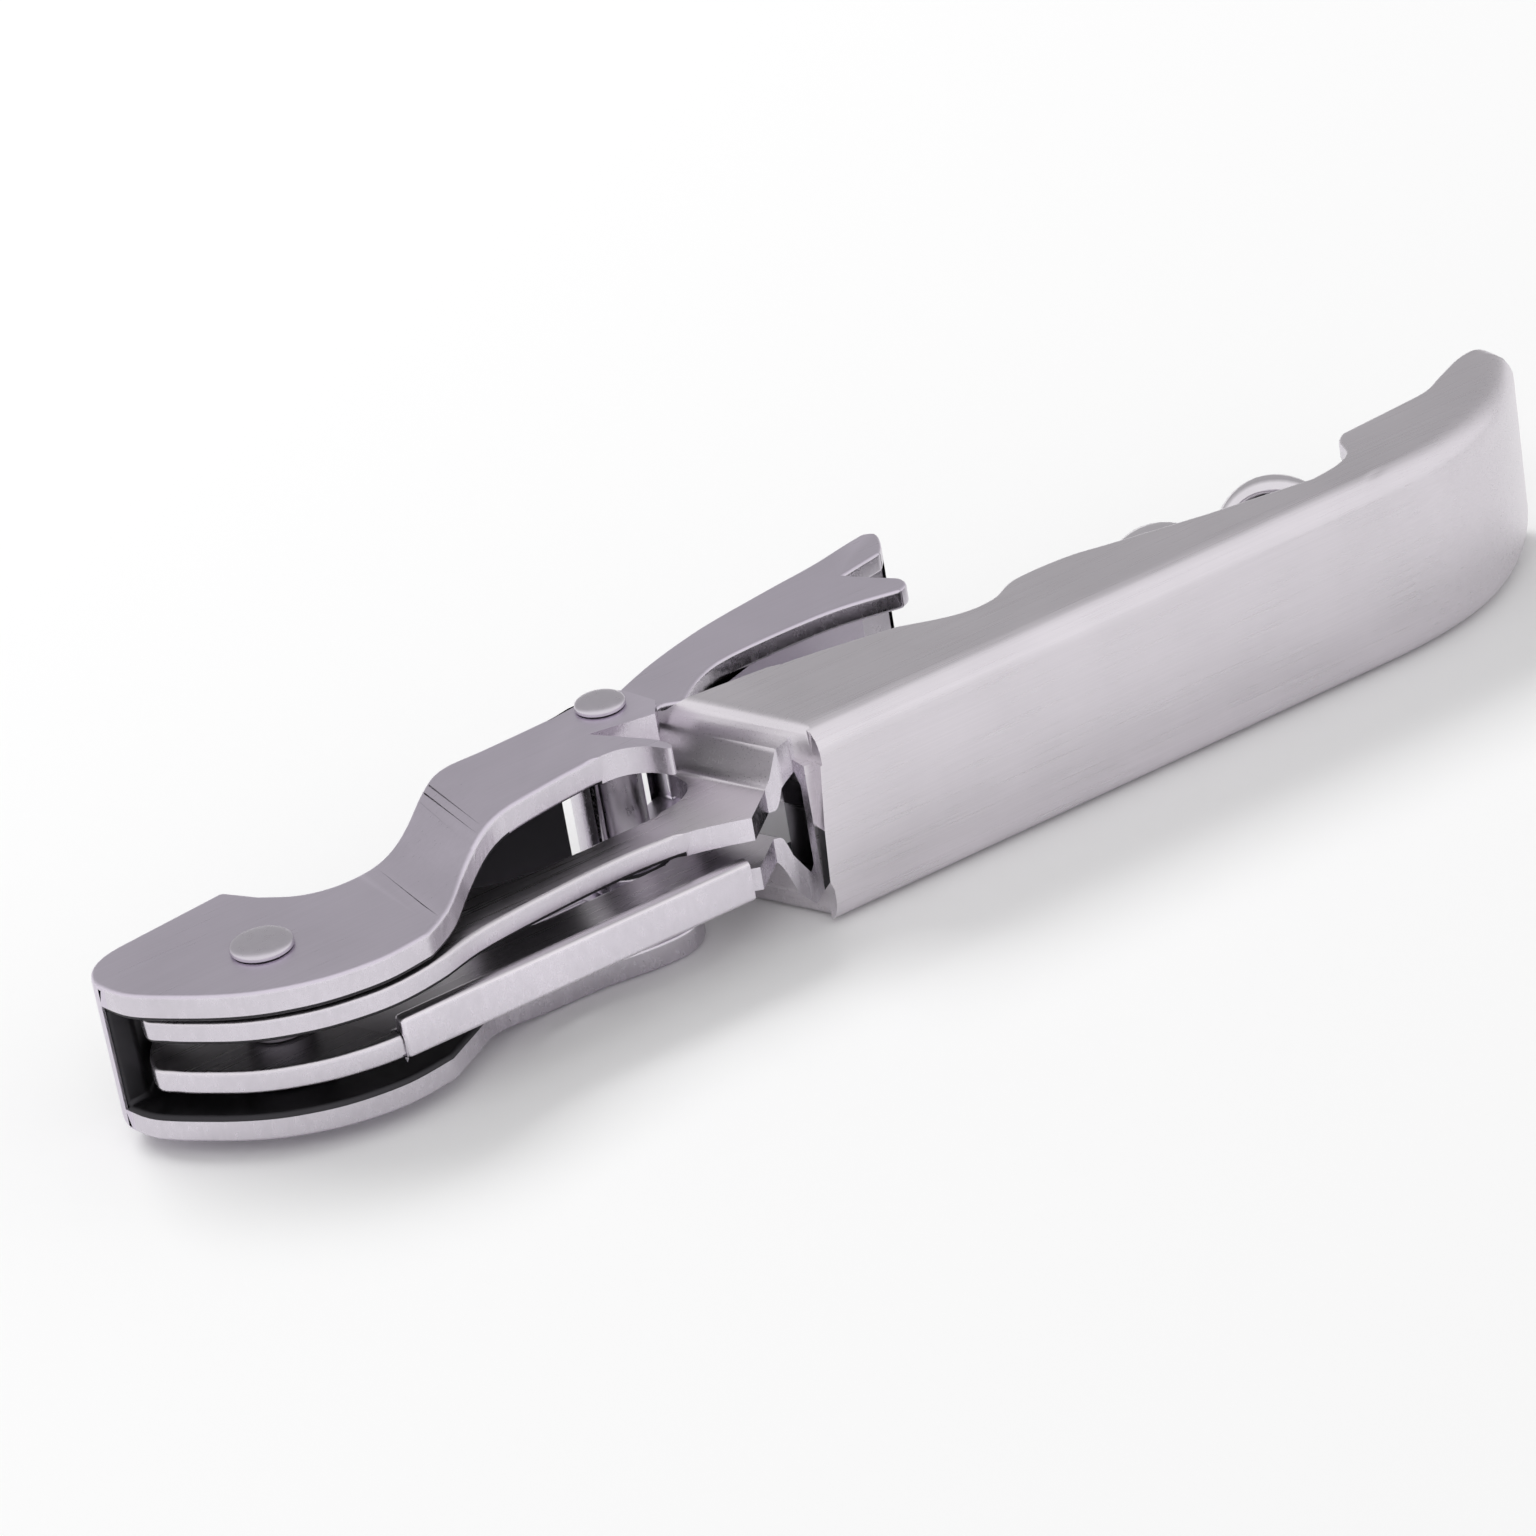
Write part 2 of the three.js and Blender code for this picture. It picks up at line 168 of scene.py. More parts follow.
def prism(name, corners, reach):
    """A solid whose base has these corners (frame points) and whose top is that far away."""
    bpy.ops.object.select_all(action="DESELECT")
    bpy.ops.mesh.primitive_circle_add(vertices=len(corners), radius=MM, fill_type="NGON")
    obj = bpy.context.object
    obj.name = obj.data.name = name
    for vertex, corner in zip(obj.data.vertices, corners):
        vertex.co = corner
    shift = {"value": tuple(reach)}
    return edit(obj, lambda: bpy.ops.mesh.extrude_region_move(TRANSFORM_OT_translate=shift),
                lambda: bpy.ops.mesh.select_all(action="SELECT"), outward)


def plate(name, outline, low, high):
    points = outline.points if isinstance(outline, Outline) else outline
    return prism(name, [place(x, y, low) for x, y in points], Vector((0, 0, high - low)) * MM)


def side_plate(name, points, near=-FAR, far=FAR, skew=0.0):
    """An outline in X and Z made thick along Y, then turned about the drawing's Z axis."""
    turn = Matrix.Rotation(math.radians(skew), 3, "Z")
    corners = [ZERO + (turn @ Vector((x, near, z))) * MM for x, z in points]
    return prism(name, corners, (turn @ Vector((0, far - near, 0))) * MM)


def block(x0, x1, y0, y1, z0, z1):
    return plate("block", [(x0, y0), (x1, y0), (x1, y1), (x0, y1)], z0, z1)


# %% [markdown]
# Joining and cutting solids is a Boolean modifier, applied at once so that the next step starts from
# plain faces. After it, corners that fell on top of each other are merged.


# %% Joining, cutting and keeping the overlap
def apply_modifier(obj, kind, **settings):
    only(obj)
    modifier = obj.modifiers.new(kind, kind)
    for key, value in settings.items():
        setattr(modifier, key, value)
    bpy.ops.object.modifier_apply(modifier=modifier.name)
    return obj


SORT_FROM = (0.313, -0.227, 0.171)


def in_order():
    """Sorts the selected corners, edges and faces by their distance from a point off to one side.

    The sort measures from the cursor. New primitives start there too, so it goes straight back.
    """
    bpy.context.scene.cursor.location = SORT_FROM
    bpy.ops.mesh.sort_elements(type="CURSOR_DISTANCE", elements={"VERT", "EDGE", "FACE"})
    bpy.context.scene.cursor.location = (0, 0, 0)


def combine(obj, tool, operation):
    """The Boolean works on several cores, so its corners come in any order: they are sorted after it."""
    apply_modifier(obj, "BOOLEAN", object=tool, operation=operation, solver="EXACT")
    bpy.data.objects.remove(tool)
    return edit(obj, in_order)


def cut(obj, *tools):
    for tool in tools:
        combine(obj, tool, "DIFFERENCE")
    return obj


def join(obj, *tools):
    for tool in tools:
        combine(obj, tool, "UNION")
    return obj


def overlap(obj, *tools):
    for tool in tools:
        combine(obj, tool, "INTERSECT")
    return obj


def clean(obj, gap=0.05, flat=0.4):
    """Merges near corners and takes out edges that divide a flat face."""
    return edit(obj, lambda: bpy.ops.mesh.remove_doubles(threshold=gap * MM), in_order,
                lambda: bpy.ops.mesh.dissolve_limited(angle_limit=math.radians(flat)), in_order,
                lambda: bpy.ops.mesh.select_all(action="SELECT"), outward)


# %% [markdown]
# No sheet-metal edge is truly sharp. A narrow bevel on every hard edge catches the light in a thin
# line, which is what makes metal read as metal. Weighted normals keep the large faces flat.


# %% Softening the edges
def mark_sharp(obj, angle, leave):
    """Gives a bevel weight to each edge sharper than the angle, unless leave(its middle in drawing mm)."""
    normals = {}
    for face in obj.data.polygons:
        for pair in face.edge_keys:
            normals.setdefault(pair, []).append(face.normal.copy())
    weights = obj.data.attributes.new("bevel_weight_edge", "FLOAT", "EDGE")
    limit = math.radians(angle)
    for line in obj.data.edges:
        ends = [obj.data.vertices[i].co for i in line.vertices]
        middle = ((ends[0] + ends[1]) / 2 - ZERO) / MM
        sides = normals.get(tuple(sorted(line.vertices)), [])
        sharp = len(sides) == 2 and sides[0].angle(sides[1], 0.0) > limit
        weights.data[line.index].value = 1.0 if sharp and not leave(middle) else 0.0


def soften(obj, width, angle=32, segments=3, leave=lambda middle: False):
    mark_sharp(obj, angle, leave)
    apply_modifier(obj, "BEVEL", width=width * MM, segments=segments, limit_method="WEIGHT",
                   use_clamp_overlap=False, loop_slide=True)
    only(obj)
    bpy.ops.object.shade_smooth_by_angle(angle=math.radians(40))
    apply_modifier(obj, "WEIGHTED_NORMAL", keep_sharp=True, weight=100)
    return obj


def report(obj):
    faces = sum(len(p.vertices) - 2 for p in obj.data.polygons)
    size = [round(v / MM, 1) for v in obj.dimensions]
    print(f"{obj.name}: {faces} triangles, {size} mm")


def finished(obj, name, body, material, replaced=None, others=()):
    obj.name = obj.data.name = name
    obj.data.materials.clear()
    for finish in (material, *others):
        obj.data.materials.append(finish)
    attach(obj, body)
    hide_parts(replaced or name)
    report(obj)
    return obj


# %% [markdown]
# Stainless steel parts like these are drawn over a belt, so the polish leaves fine parallel
# scratches. Colour comes from one grey with a faint warm-violet cast. Two noises do the rest: one
# stretched a hundredfold along the grain for the scratches, and one broad and soft for the unevenness
# that handling leaves. Convex edges are rubbed a little brighter.


# %% Steel finishes
def steel(name, colour, roughness, grain=(80, 6500, 6500), scratch=0.05, wear=0.12, patch=0.03, turn=0.0):
    material = bpy.data.materials.new(name)
    material.use_nodes = True
    tree = material.node_tree
    shader = tree.nodes["Principled BSDF"]
    shader.inputs["Metallic"].default_value = 1.0

    def node(kind, **values):
        made = tree.nodes.new(kind)
        for key, value in values.items():
            if key in made.inputs:
                made.inputs[key].default_value = value
            else:
                setattr(made, key, value)
        return made

    link = tree.links.new
    where = node("ShaderNodeTexCoord")
    along = node("ShaderNodeMapping", Scale=grain, Rotation=(0, 0, math.radians(turn)))
    link(where.outputs["Object"], along.inputs["Vector"])
    streaks = node("ShaderNodeTexNoise", Scale=1.0, Detail=5.0, Roughness=0.65)
    link(along.outputs["Vector"], streaks.inputs["Vector"])
    handling = node("ShaderNodeTexNoise", Scale=140.0, Detail=3.0, Roughness=0.5)
    link(where.outputs["Object"], handling.inputs["Vector"])

    def spread(source, low, high):
        out = node("ShaderNodeMapRange")
        out.inputs["From Min"].default_value, out.inputs["From Max"].default_value = 0.3, 0.7
        out.inputs["To Min"].default_value, out.inputs["To Max"].default_value = low, high
        link(source, out.inputs["Value"])
        return out.outputs["Result"]

    def maths(operation, a, b):
        out = node("ShaderNodeMath", operation=operation)
        for socket, value in zip(out.inputs, (a, b)):
            if isinstance(value, (int, float)):
                socket.default_value = value
            else:
                link(value, socket)
        return out.outputs[0]

    streak_light = spread(streaks.outputs["Fac"], 1 - scratch, 1 + scratch)
    patch_light = spread(handling.outputs["Fac"], 1 - patch, 1 + patch)
    shape = node("ShaderNodeNewGeometry")
    edges = node("ShaderNodeMapRange")
    edges.inputs["From Min"].default_value, edges.inputs["From Max"].default_value = 0.52, 0.62
    edges.inputs["To Min"].default_value, edges.inputs["To Max"].default_value = 1.0, 1.0 + wear
    link(shape.outputs["Pointiness"], edges.inputs["Value"])
    light = maths("MULTIPLY", maths("MULTIPLY", streak_light, patch_light), edges.outputs["Result"])
    tint = node("ShaderNodeVectorMath", operation="SCALE")
    tint.inputs[0].default_value = colour
    link(light, tint.inputs["Scale"])
    link(tint.outputs["Vector"], shader.inputs["Base Color"])
    rough = maths("MULTIPLY", spread(streaks.outputs["Fac"], roughness * 0.85, roughness * 1.15), patch_light)
    link(rough, shader.inputs["Roughness"])
    bump = node("ShaderNodeBump", Strength=0.35, Distance=0.00002)
    link(streaks.outputs["Fac"], bump.inputs["Height"])
    link(bump.outputs["Normal"], shader.inputs["Normal"])
    return material


SHELL = steel("shell_steel", (0.68, 0.645, 0.685), 0.30, scratch=0.035)
LEVER = steel("lever_steel", (0.63, 0.58, 0.665), 0.32, grain=(110, 5200, 5200), scratch=0.03, turn=20)
EDGE = steel("cut_edge_steel", (0.64, 0.605, 0.66), 0.26, grain=(1800, 1800, 900), scratch=0.05, wear=0.1,
             patch=0.05)
# The near-black inner steel is painted shade for the faces inside the hollows, not a different metal.
INNER_PAINTED_SHADE = steel("inner_painted_shade_steel", (0.05, 0.048, 0.053), 0.5, grain=(900, 900, 900), scratch=0.06, wear=0.0)
RIVET = steel("rivet_steel", (0.60, 0.565, 0.62), 0.3, grain=(1500, 1500, 1500), scratch=0.03)
# The darkened washer steel is painted shade for the cavities between the plates, not a different metal.
WASHER_PAINTED_SHADE = steel("washer_steel", (0.20, 0.19, 0.21), 0.38, grain=(1500, 1500, 1500), scratch=0.05)
WORM = steel("worm_steel", (0.68, 0.65, 0.69), 0.12, grain=(700, 700, 700), scratch=0.02)
BLADE = steel("blade_steel", (0.62, 0.60, 0.63), 0.22, grain=(4200, 90, 90), scratch=0.05)
print("materials:", len(bpy.data.materials))

# %% [markdown]
# The handle is one pressed sheet: a channel whose closed back curls up at the tail. Its side walls
# step inwards just in front of the back and run on as two neck plates to the lever's rivet. The
# channel is a thick block with its two back edges rounded; a smaller copy is its inside.


# %% The channel's block, with its back edges rounded
def back_line(outline, inset):
    return outline.line((TAIL_START, inset)).bend(
        (TAIL_START + 9.5, inset), (65 - inset, 2.4 + inset), (TAIL_TIP[0] - inset, TAIL_TIP[1]), steps=22)


def channel(inset):
    outline = back_line(Outline(-FAR, inset), inset).line((TAIL_TIP[0] - inset, 25))
    rounded = len(outline.points)
    outline.line((-FAR, 25))
    obj = plate("channel", outline, inset, WIDTH - inset)
    back = [place(x, y, 0) for x, y in outline.points[:rounded]]

    def on_back(vertex):
        return any(math.hypot(vertex.co.x - p.x, vertex.co.y - p.y) < 1e-6 for p in back)

    def pick():
        bpy.ops.mesh.select_mode(type="EDGE")
        bpy.ops.mesh.select_all(action="DESELECT")
        bpy.ops.object.mode_set(mode="OBJECT")
        flags = [on_back(v) for v in obj.data.vertices]
        for e in obj.data.edges:
            a, b = e.vertices
            level = abs(obj.data.vertices[a].co.z - obj.data.vertices[b].co.z) < 1e-7
            e.select = level and flags[a] and flags[b]
        bpy.ops.object.mode_set(mode="EDIT")

    radius = (BACK_RADIUS - inset) * MM
    round_off = dict(offset=radius, segments=8, affect="EDGES", clamp_overlap=False)
    return edit(obj, pick, lambda: bpy.ops.mesh.bevel(**round_off))


# %% [markdown]
# The open edge of the side walls dips where a thumb lifts the knife, and steps round the bottle-rim
# cutter near the tail. The same cut gives the neck its outline, with a recess for the foot's rivet.


# %% The plan outline of the sheet
def shell_outline():
    o = Outline(0, -1)
    o.line((TAIL_TIP[0] + 1, -1), (TAIL_TIP[0] + 0.2, TAIL_TIP[1]))
    o.through((70.1, 11.5), (67.3, 11.5), (64.2, 10.1), (61.8, 8.9), (58.5, 8.5), (53.4, 8.1))
    o.through((52.5, 7.3), (51.6, 5.3), (49.8, 4.3), (47.4, 3.9))
    o.line((39.0, 5.4))
    o.through((31.8, 7.1), (28.0, 8.0), (23.4, 8.0), (20.6, 6.7), (17.6, 6.8), (13.6, 8.6))
    o.through((6.0, 10.2), (0.0, 10.9), (-2.4, 11.2), (-3.7, 12.2), (-4.2, 13.0))
    o.line((-4.8, 12.4))
    o.through((-5.2, 11.3), (-5.1, 9.8), (-5.4, 8.2), (-7.4, 6.9), (-11.0, 6.6))
    o.line((-19.0, 6.5))
    o.through((-22.6, 7.4), (-26.0, 9.9), (-29.6, 11.0), (-33.0, 11.4), (-36.4, 13.6), (-40.5, 15.5),
              (-44.5, 15.2), (-47.4, 12.9), (-48.8, 9.8), (-48.0, 8.2), (-46.6, 6.5), (-44.2, 4.1),
              (-41.6, 2.4), (-38.5, 1.1), (-34.5, 0.4), (-30.4, 0.9), (-25.6, 2.3), (-16.0, 3.2),
              (-10.0, 3.0), (-6.6, 1.9))
    o.line((-4.7, 1.0), (-1.9, 3.6), (-0.7, 3.3), (0, 2.4))
    return o


def stepped(left, right, start, end, sheet=0.0, shift=0.0, ease=(0.45, 0.45), steps=16):
    """The side outline of a channel that changes from one pair of levels to another in an S-bend.

    sheet moves both levels inwards, for the hollow, and shift moves that hollow's bend along.
    """
    start, end = start + shift, end + shift
    first, last = ease[0] * (end - start), ease[1] * (end - start)
    left, right = (left[0] + sheet, left[1] - sheet), (right[0] + sheet, right[1] - sheet)
    low = Outline(-FAR, left[0]).line((start, left[0]))
    low.bend((start + first, left[0]), (end - last, right[0]), (end, right[0]), steps=steps)
    low.line((2 * FAR, right[0]), (2 * FAR, right[1]), (end, right[1]))
    low.bend((end - last, right[1]), (start + first, left[1]), (start, left[1]), steps=steps)
    return low.line((-FAR, left[1])).points


def rod(centre, radius, low, high, sides=40):
    return plate("rod", arc(centre, radius, 0, 360, sides)[:-1], low, high)


def handle_shell():
    skew, start, end, ease = 22, -0.6, 2.2, (0.3, 0.62)
    full = (-0.02, WIDTH + 0.02)
    outer = side_plate("outer", stepped(NECK, full, start, end, ease=ease), skew=skew)
    join(outer, block(0.3, 2 * FAR, -1, 1.1, -1, WIDTH + 1))
    inside_line = stepped(NECK, full, start, end - 0.6, HANDLE_SHEET, 0.55, ease=ease)
    inner = side_plate("inner", inside_line, skew=skew)
    room = join(channel(HANDLE_SHEET), block(-FAR, -0.5, -1, 25, 0.5, WIDTH - 0.5))
    shell = plate("shell", shell_outline(), -1, WIDTH + 1)
    overlap(shell, channel(0), outer)
    return cut(shell, overlap(inner, room))


shell = handle_shell()
report(shell)

# %% [markdown]
# The lower neck plate reaches out to the line of the back, where its edge is turned up into a rim that
# stiffens it. The end of the back leans a little where the sheet was trimmed.

# %% The rim, the rivet's hole and the trimmed end
join(shell, block(-34.4, -6.0, 0, 1.3, NECK[0], NECK[0] + 3.1),
     block(-34.4, -6.0, 0.2, 3.4, NECK[0] + 0.001, NECK[0] + HANDLE_SHEET - 0.001))
cut(shell, rod(LEVER_PIVOT, 1.5 + 1.3 * FIT, -1, WIDTH + 1))
lean = [(-3, -1), (0, -1), (0, 3), (0.3, 8), (0.8, 12.8), (1.0, 17), (-3, 17)]
cut(shell, side_plate("lean", lean, near=-1, far=0.9))
corner = Outline(-1, -1).line((1.0, -1), (0.95, 0.4)).bend((0.75, 1.6), (0, 2.5)).line((-1, 2.5))
cut(shell, plate("corner", corner, 13.0, 17))
clean(shell)
soften(shell, 0.36, leave=lambda m: -9 < m.x < 4.5)
shell = finished(shell, "handle_sheet", "handle", SHELL, "handle_shell", (EDGE, INNER_PAINTED_SHADE))


# %% [markdown]
# Cut edges look different from brushed faces, because the shear breaks up their grain. Faces that
# stand upright and aren't the handle's back get the edge finish. Faces that look into the channel get
# a near-black steel that is painted shade: it stands in for the dark inside the hollow.


# %% The cut edges get their own finish, and the inner faces get painted shade
CUT_EDGE, INWARD_PAINTED_SHADE = 1, 2


def give_faces(obj, index, wanted):
    """Gives a finish to each face for which wanted(centre in drawing mm, normal) holds."""
    chosen = [f for f in obj.data.polygons if wanted((f.center - ZERO) / MM, f.normal)]
    for face in chosen:
        face.material_index = index
    print(f"{obj.name}: {len(chosen)} faces have finish {index}")


def upright(normal):
    return abs(normal.z) < 0.6


def between(z, pair):
    return pair[0] + 0.4 < z < pair[1] - 0.4


def of_sheet_back(c, n):
    """True on the handle's closed back, its rolled tail and the S-bends, which keep the brushed finish."""
    back = c.x > 0.15 and n.y < 0.2 and (c.y < 2.4 or c.x > 50)
    return back or abs(n.z) > 0.2 and -8 < c.x < 3


# Picks the handle's faces that look into its channel; these get the near-black painted shade.
def painted_shade_inside_handle(c, n):
    level = n.z * (c.z - WIDTH / 2) < -0.1 and between(c.z, (0, WIDTH))
    back = c.x > 1.4 and n.y > 0.3 and c.y < 3.4 and between(c.z, (0.8, WIDTH - 0.8))
    return level and (c.x > -5 or c.z > WIDTH / 2) or back


give_faces(shell, CUT_EDGE, lambda c, n: upright(n) and not of_sheet_back(c, n))
give_faces(shell, INWARD_PAINTED_SHADE, painted_shade_inside_handle)

# %% [markdown]
# The lever is two plates joined by a web at each end. They spread apart towards the foot, where the
# inner prong is the first step that sits on a bottle's rim. The lower plate's prong is fuller.


# %% The lever
def lever_outline(inner_edge):
    o = Outline(-38.0, 17.2).line((-46.8, 16.1)).bend((-50.3, 15.6), (-50.4, 12.4))
    o.through((-49.6, 9.6), (-47.0, 6.4), (-44.4, 3.9), (-41.8, 2.2), (-38.6, 0.9), (-34.6, 0.3),
              (-30.8, 0.8))
    o.through(*inner_edge)
    o.line((-10.7, 11.5), (-5.8, 10.4), (-4.7, 12.1), (-5.4, 15.0)).bend((-5.8, 16.0), (-7.4, 16.1))
    o.through((-12.6, 15.8), (-17.4, 15.6), (-20.8, 15.6), (-22.8, 14.7), (-25.0, 13.3), (-27.2, 12.3),
              (-29.6, 11.8), (-32.1, 11.8), (-34.4, 12.7), (-36.4, 14.6))
    return o


def lever_arm():
    upper = lever_outline([(-28.0, 2.6), (-25.3, 4.8), (-22.3, 6.4), (-18.8, 7.1), (-14.6, 7.8), (-11.0, 8.0),
                           (-9.0, 6.9), (-7.9, 5.2), (-7.5, 5.8), (-8.0, 7.4)])
    lower = lever_outline([(-28.0, 2.6), (-25.3, 4.6), (-22.1, 5.6), (-16.5, 5.7), (-11.6, 5.0), (-8.6, 5.2),
                           (-6.9, 6.6), (-6.8, 7.8)])
    middle = (LEVER_TIP[0] + LEVER_TIP[1]) / 2
    hollow = plate("hollow", [(-FAR, -2), (-FAR, 11.7), (-48.5, 12.2), (-47.6, 13.4), (-46.6, 14.4),
                              (-46.6, FAR),
                              (-23.0, FAR), (-21.9, 13.6), (-20.5, 14.2), (-17.6, 14.1), (-12.2, 14.1),
                              (-13.2, 16.2), (-13.2, FAR), (FAR, FAR), (FAR, -2)], -1, WIDTH + 1)
    overlap(hollow, side_plate("inside", stepped(LEVER_END, LEVER_TIP, -30, -19, LEVER_SHEET, 0.3)))
    parts = []
    for outline, low, high in ((lower, 0, middle), (upper, middle, WIDTH + 2)):
        half = plate("half", outline, low, high)
        overlap(half, side_plate("outside", stepped(LEVER_END, LEVER_TIP, -30, -19)))
        parts.append(half)
    arm = join(*parts)
    cut(arm, hollow, rod(LEVER_PIVOT, 1.5 + FIT, -1, WIDTH + 2), rod(FOOT_PIVOT, 1.3 + FIT, -1, WIDTH + 2))
    return arm


arm = clean(lever_arm())
soften(arm, 0.38, leave=lambda m: m.x > -12 and m.z > 10)
arm = finished(arm, "lever_plates", "lever", LEVER, "lever_arm", (EDGE, INNER_PAINTED_SHADE))


def of_lever_web(c):
    return c.y > 11.5 and c.x < -46 or c.y > 12 and -23 < c.x < -13


give_faces(arm, CUT_EDGE, lambda c, n: upright(n) and not of_lever_web(c))
# The lever's faces that look inwards between its plates get the near-black painted shade.
give_faces(arm, INWARD_PAINTED_SHADE, lambda c, n: (n.z * (c.z - 8) < -0.1 or n.y < -0.5 and c.y > 11) and 2.5 < c.z < 14.3)


# %% [markdown]
# The foot is the second step: a channel that turns between the lever's plates and ends in a fork. Its
# sheet also closes the far side of its round end.


# %% The foot
def foot_outline():
    o = Outline(*arc(FOOT_PIVOT, 3.3, 95, 325)[0])
    o.line(*arc(FOOT_PIVOT, 3.3, 95, 325)[1:])
    o.through((-4.4, 13.9), (-3.4, 14.9), (-2.5, 15.2))
    o.line((-1.3, 14.4))
    o.through((0.9, 16.2), (3.3, 17.4), (6.0, 17.8), (10.6, 17.9), (14.6, 17.6), (19.0, 16.5))
    o.through((19.9, 17.1), (20.1, 18.2), (19.2, 19.5))
    o.line((17.6, 21.9), (21.4, 22.8))
    o.through((22.3, 24.0), (23.0, 25.7), (22.2, 26.5))
    o.through((20.0, 26.0), (16.8, 25.2), (11.8, 24.4), (5.6, 23.2), (0.2, 21.4), (-4.0, 19.4))
    return o


def lever_foot():
    foot = plate("foot", foot_outline(), *FOOT)
    hollow = plate("hollow", [(-20, 0), (-20, 30), (-3.0, 30), (-1.2, 18.9), (0.8, 19.9), (5.9, 21.6),
                              (12.1, 22.8),
                              (17.0, 23.6), (19.8, 24.2), (30, 24.2), (30, 0)], FOOT[0] + FOOT_SHEET,
                   FOOT[1] - FOOT_SHEET)
    outer, inner = arc(FOOT_PIVOT, 6, 60, 215), arc(FOOT_PIVOT, 2.3, 60, 215)
    cut(hollow, plate("round_web", outer + inner[::-1], FOOT[0], FOOT[1]))
    return cut(foot, hollow, rod(FOOT_PIVOT, 1.3 + 1.3 * FIT, 0, WIDTH))


foot = clean(lever_foot())
soften(foot, 0.3)
foot = finished(foot, "foot_channel", "foot", LEVER, "lever_foot", (EDGE, INNER_PAINTED_SHADE))
give_faces(foot, CUT_EDGE, lambda c, n: upright(n) and not (c.y > 19 and c.x < 19))
# The foot's faces that look into its channel get the near-black painted shade.
give_faces(foot, INWARD_PAINTED_SHADE, lambda c, n: n.z * (c.z - 8) < -0.1 and c.x < -3 and 3.8 < c.z < 12.4)


# %% [markdown]
# Rivets, collars and washers are turned: half a section, spun about the pin's axis. The section is an
# edge path made by stretching a single corner, and the spin goes all the way round.


# %% Turned pieces
def turned(name, centre, section, sides=56):
    bpy.ops.object.select_all(action="DESELECT")
    bpy.ops.mesh.primitive_plane_add(size=MM)
    obj = bpy.context.object
    edit(obj, lambda: bpy.ops.mesh.merge(type="CENTER"))
    obj.data.vertices[0].co = place(centre[0] + section[0][0], centre[1], section[0][1])
    moves = [Vector((b[0] - a[0], 0, b[1] - a[1])) * MM for a, b in zip(section, section[1:])]

    def draw():
        for move in moves:
            bpy.ops.mesh.extrude_vertices_move(TRANSFORM_OT_translate={"value": tuple(move)})
        bpy.ops.mesh.select_all(action="SELECT")
        middle = place(centre[0], centre[1], 0)
        bpy.ops.mesh.spin(steps=sides, angle=2 * math.pi, center=middle, axis=(0, 0, 1))
        bpy.ops.mesh.select_all(action="SELECT")
        bpy.ops.mesh.remove_doubles(threshold=0.004 * MM)
        outward()

    edit(obj, draw)
    obj.name = name
    only(obj)
    bpy.ops.object.shade_smooth_by_angle(angle=math.radians(40))
    return obj


def dome(radius, face, rise, way):
    """A low head: a short rounded side, then a shallow cap, from its edge to its middle."""
    lip = 0.35 * rise
    points = [(radius - 0.08, face), (radius, face + way * 0.3 * lip), (radius, face + way * lip)]
    for s in range(1, 9):
        a = math.pi / 2 * s / 8
        out = radius * math.cos(a) ** 0.8 if s < 8 else 0.0
        points.append((out, face + way * (lip + (rise - lip) * math.sin(a))))
    return points


def rivet(centre, shank, head, rise, low, high, flush=False):
    lower = [(0, low), (shank - 0.1, low), (shank, low + 0.1)] if flush else [
        *reversed(dome(head, low - FIT, rise, -1)), (shank, low - FIT)]
    return turned("rivet", centre, [*lower, (shank, high + FIT), *dome(head, high + FIT, rise, 1)])


def ring(centre, inner, outer, low, high, round_off=0.12):
    """A washer or spacer with its four edges rounded over."""
    r = min(round_off, 0.3 * (high - low))
    section = [(inner + r, low), (outer - r, low), (outer, low + r), (outer, high - r), (outer - r, high),
               (inner + r, high), (inner, high - r), (inner, low + r), (inner + r, low)]
    return turned("ring", centre, section)


def inside(pair, sheet):
    return pair[0] + sheet + FIT, pair[1] - sheet - FIT


neck_in, lever_in = inside(NECK, HANDLE_SHEET), inside(LEVER_END, LEVER_SHEET)
tip_in, foot_in = inside(LEVER_TIP, LEVER_SHEET), inside(FOOT, FOOT_SHEET)

# %% The lever's rivet and its stack
finished(rivet(LEVER_PIVOT, 1.5, 2.25, 0.75, *LEVER_END),
         "main_rivet", "lever", RIVET, "lever_rivet")
# The collar and washers of this stack use the darkened steel: painted shade between the plates.
finished(ring(LEVER_PIVOT, 1.5 + FIT, 2.4, *neck_in), "main_collar", "handle", WASHER_PAINTED_SHADE,
         "lever_rivet_collar")
finished(ring(LEVER_PIVOT, 1.5 + FIT, 3.2, NECK[1] + FIT, lever_in[1]),
         "main_washer_upper", "lever", WASHER_PAINTED_SHADE, "lever_washer_upper")
finished(ring(LEVER_PIVOT, 1.5 + FIT, 3.2, lever_in[0], NECK[0] - FIT),
         "main_washer_lower", "lever", WASHER_PAINTED_SHADE, "lever_washer_lower")

# %% The foot's rivet and its stack
finished(rivet(FOOT_PIVOT, 1.3, 1.85, 0.7, *LEVER_TIP, flush=True),
         "step_rivet", "lever", RIVET, "foot_rivet")
finished(ring(FOOT_PIVOT, 1.3 + FIT, 2.0, *foot_in),
         "step_collar", "foot", RIVET, "foot_rivet_collar")
# These washers use the darkened steel: painted shade between the plates.
finished(ring(FOOT_PIVOT, 1.3 + FIT, 2.8, FOOT[1] + FIT, tip_in[1]),
         "step_washer_upper", "lever", WASHER_PAINTED_SHADE, "foot_washer_upper")
finished(ring(FOOT_PIVOT, 1.3 + FIT, 2.8, tip_in[0], FOOT[0] - FIT),
         "step_washer_lower", "lever", WASHER_PAINTED_SHADE, "foot_washer_lower")

